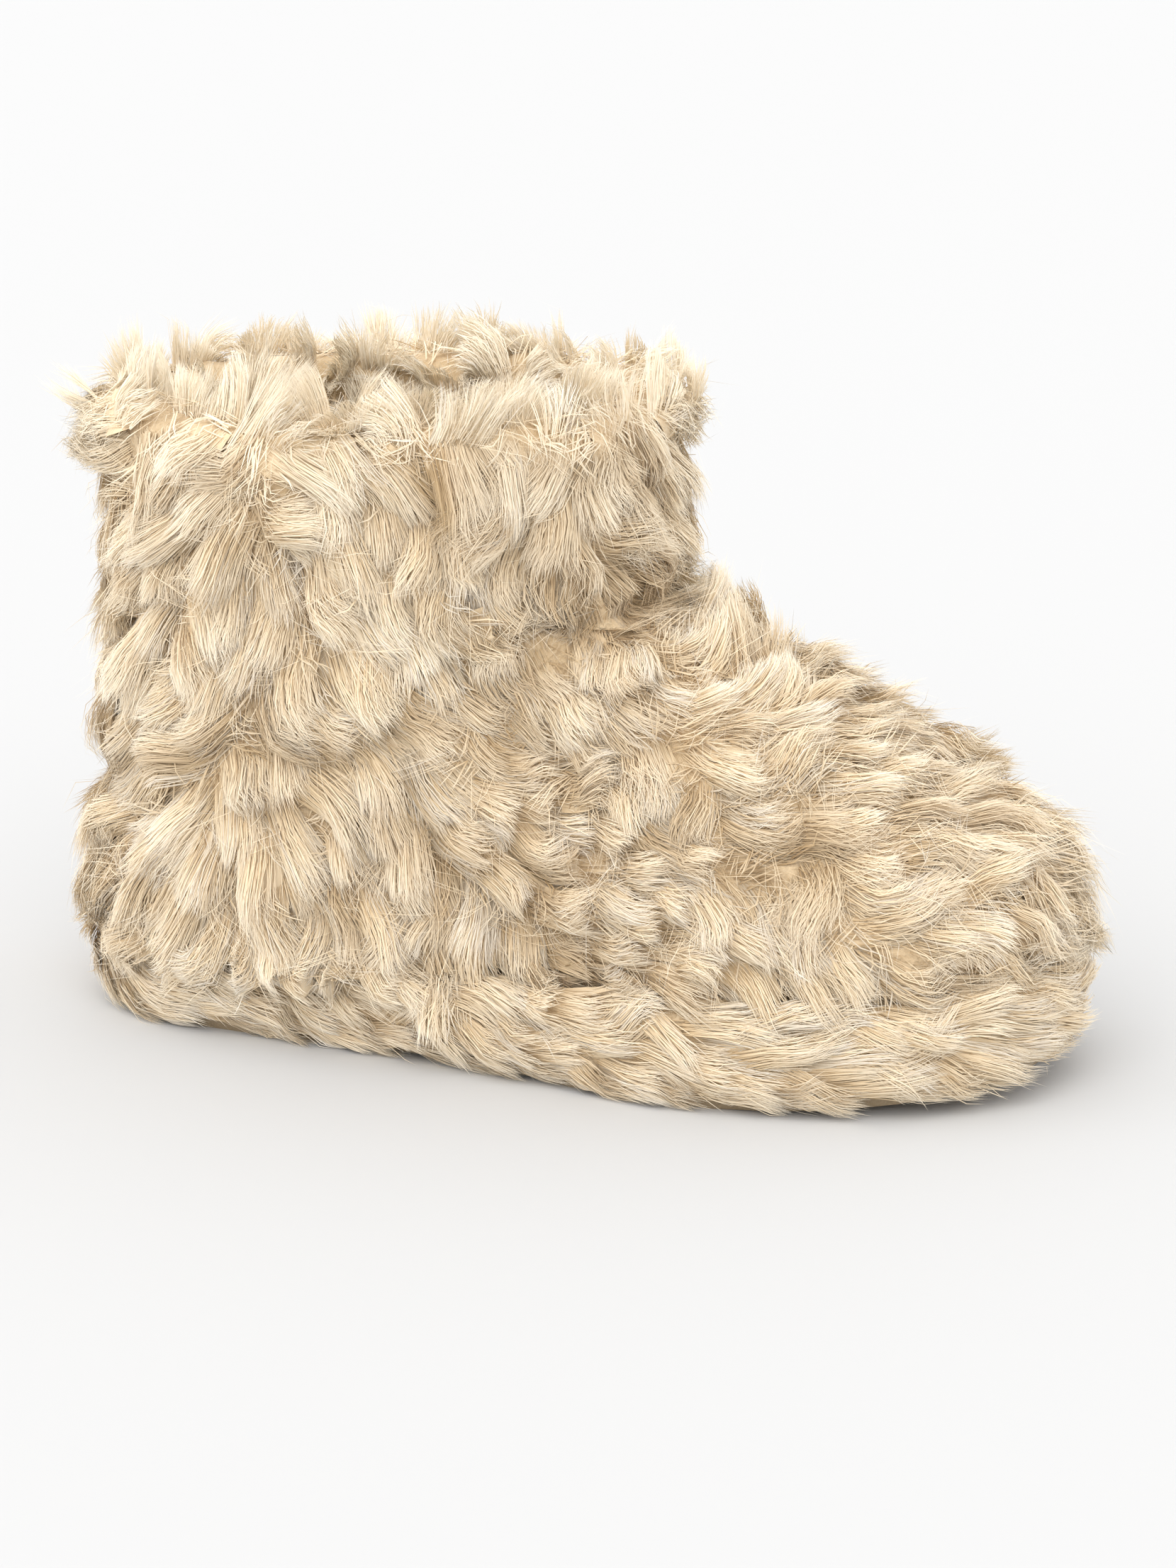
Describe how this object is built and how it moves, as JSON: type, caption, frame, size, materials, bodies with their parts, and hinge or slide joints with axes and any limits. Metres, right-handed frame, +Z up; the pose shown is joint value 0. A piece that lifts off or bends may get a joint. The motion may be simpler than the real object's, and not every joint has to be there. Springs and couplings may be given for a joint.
{
  "type": "bootie slipper",
  "caption": "Ankle-high house slipper boot in deep cream fur, with a fur-wrapped edge over a thin flat rubber outsole and a padded footbed.",
  "frame": {"origin": "centre of the heel's flat spot on the ground", "axes": "+X towards the toe, +Y towards the foot's inner side, +Z up; this is a right shoe"},
  "size_m": [0.2769, 0.1271, 0.176],
  "materials": {
    "cream_fur": "deep faux fur, matt, paler at the tips",
    "band_fur": "deep faux fur, matt, combed lengthwise",
    "sole_rubber": "matt, fine grip texture",
    "footbed_plush": "short plush"
  },
  "bodies": {
    "root": {"outsole": "sole_rubber", "insole": "footbed_plush", "upper": "cream_fur", "fur_band": "band_fur"}
  },
  "joints": []
}
